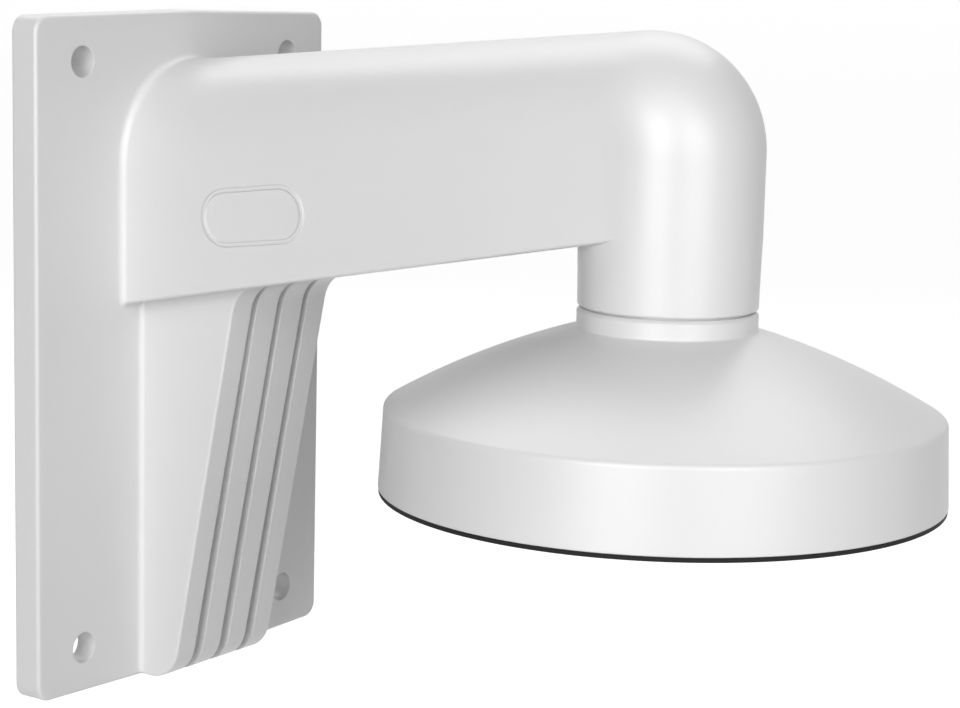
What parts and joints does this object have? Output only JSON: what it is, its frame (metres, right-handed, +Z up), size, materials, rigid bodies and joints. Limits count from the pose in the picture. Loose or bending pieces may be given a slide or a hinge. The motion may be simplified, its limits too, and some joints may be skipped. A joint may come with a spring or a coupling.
{
  "type": "camera wall bracket",
  "caption": "Cast wall bracket for a dome camera: crowned plate, hollow arm with an elbow and gusset, and a round dish with a rim seal.",
  "frame": {"origin": "centre of the four wall holes, on the wall plane at the plate's back", "axes": "X along the wall, +Y into the wall, +Z up; the arm stands out towards -Y"},
  "size_m": [0.141, 0.2344, 0.1858],
  "materials": {
    "white_paint": "smooth satin powder coat",
    "black_rubber": "matt",
    "screw_steel": "plain"
  },
  "bodies": {
    "root": {"bracket_body": "white_paint", "camera_dish": "white_paint", "rim_gasket": "black_rubber", "neck_seal": "black_rubber", "dish_screws": "screw_steel"}
  },
  "joints": []
}
